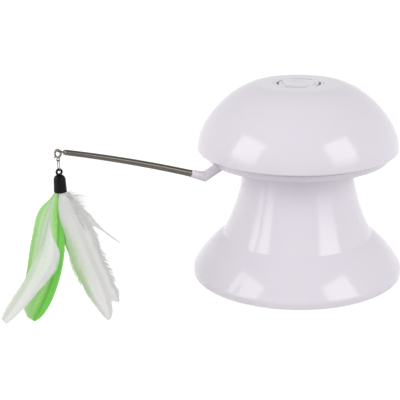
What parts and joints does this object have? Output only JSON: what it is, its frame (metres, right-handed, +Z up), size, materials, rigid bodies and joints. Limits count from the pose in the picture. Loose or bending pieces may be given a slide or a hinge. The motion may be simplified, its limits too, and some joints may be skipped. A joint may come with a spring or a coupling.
{
  "type": "cat feather laser toy",
  "caption": "Mushroom-shaped cat toy whose motor-driven dish under a fixed dome turns a spring rod with a clasped feather tassel and a laser, with a push button on top.",
  "frame": {"origin": "centre of the foot ring's resting face, on the body's axis", "axes": "+Z up along the body's axis; the spring rod leaves along -X; the viewer of the picture stands towards -Y"},
  "size_m": [0.3073, 0.16, 0.1469],
  "materials": {
    "white_abs": "gloss",
    "inner_abs": "satin",
    "black_rubber": "matte",
    "grey_rubber": "matte",
    "zinc_screw": "satin",
    "nickel": "polished",
    "spring_steel": "oiled",
    "brass": "satin",
    "acetal": "satin",
    "smoked": "gloss",
    "board": "satin",
    "cell": "gloss",
    "lens": "clear",
    "wire": "satin",
    "feather_green": "matte",
    "feather_white": "matte"
  },
  "bodies": {
    "base": {"base_shell": "white_abs", "base_cover": "white_abs", "foot_ring": "grey_rubber", "cover_screws": "zinc_screw", "aa_cells": "cell", "battery_contacts": "zinc_screw", "cell_springs": "zinc_screw", "gear_deck": "inner_abs", "deck_screws": "zinc_screw", "gear_motor": "zinc_screw", "motor_screws": "zinc_screw", "gear_axle": "zinc_screw", "spindle_column": "inner_abs", "column_screws": "zinc_screw", "thrust_washer": "acetal", "wire_loom": "wire", "slip_ring": "inner_abs", "slip_tracks": "brass", "dome_shell": "white_abs", "button_bezel": "white_abs", "light_ring": "smoked", "tact_switch": "smoked", "control_board": "board", "board_tray": "inner_abs", "tray_screws": "zinc_screw", "tray_nut": "inner_abs"},
    "door": {"battery_door": "white_abs", "door_screw": "zinc_screw"},
    "pinion": {"motor_pinion": "brass"},
    "compound": {"compound_gear": "acetal"},
    "turntable": {"turntable_dish": "white_abs", "turntable_gear": "acetal", "hub_bush": "acetal", "laser_module": "brass", "laser_lens": "lens", "brush_contacts": "brass", "arm_elbow": "white_abs", "spring_core": "spring_steel", "arm_spring": "spring_steel", "rod_eye": "nickel"},
    "button": {"mode_button": "white_abs", "switch_plunger": "acetal"},
    "clasp": {"clasp_body": "nickel", "clasp_pin": "nickel"},
    "gate": {"clasp_gate": "nickel"},
    "link": {"jump_ring": "nickel"},
    "tassel": {"feather_cap": "black_rubber", "feather_green_left": "feather_green", "feather_white_left": "feather_white", "feather_green_middle": "feather_green", "feather_green_back": "feather_green", "feather_white_right": "feather_white", "feather_white_outer": "feather_white", "feather_white_short": "feather_white"}
  },
  "joints": [
    {"name": "turntable_spin", "type": "hinge", "parent": "base", "child": "turntable", "pos_m": [0, 0, 0.09], "axis": [0, 0, 1], "continuous": true},
    {"name": "compound_spin", "type": "hinge", "parent": "base", "child": "compound", "pos_m": [0, 0.0208, 0.08], "axis": [0, 0, 1], "continuous": true},
    {"name": "motor_spin", "type": "hinge", "parent": "base", "child": "pinion", "pos_m": [0.0168, 0.0208, 0.077], "axis": [0, 0, 1], "continuous": true},
    {"name": "mode_button_press", "type": "slide", "parent": "base", "child": "button", "axis": [0, 0, -1], "range_m": [0, 0.001], "stiffness_N_per_m": 300, "springref_m": -0.0005},
    {"name": "battery_door_lift", "type": "slide", "parent": "base", "child": "door", "axis": [0, 0, -1], "range_m": [0, 0.02]},
    {"name": "clasp_swing", "type": "hinge", "parent": "turntable", "child": "clasp", "pos_m": [-0.1854, 0, 0.12022], "axis": [0, 1, 0], "range_deg": [-25, 60]},
    {"name": "clasp_gate_open", "type": "hinge", "parent": "clasp", "child": "gate", "pos_m": [-0.18694, 0, 0.11725], "axis": [0, 1, 0], "range_deg": [0, 25], "stiffness_Nm_per_rad": 0.002},
    {"name": "link_swing", "type": "hinge", "parent": "clasp", "child": "link", "pos_m": [-0.1854, 0, 0.11362], "axis": [1, 0, 0], "range_deg": [-40, 40]},
    {"name": "cap_swing", "type": "hinge", "parent": "link", "child": "tassel", "pos_m": [-0.1854, 0, 0.10685], "axis": [0, 1, 0], "range_deg": [-50, 50]}
  ],
  "couplings": [
    {"joint": "compound_spin", "follows": "turntable_spin", "ratio": -3.3333},
    {"joint": "motor_spin", "follows": "turntable_spin", "ratio": 8.3333}
  ]
}
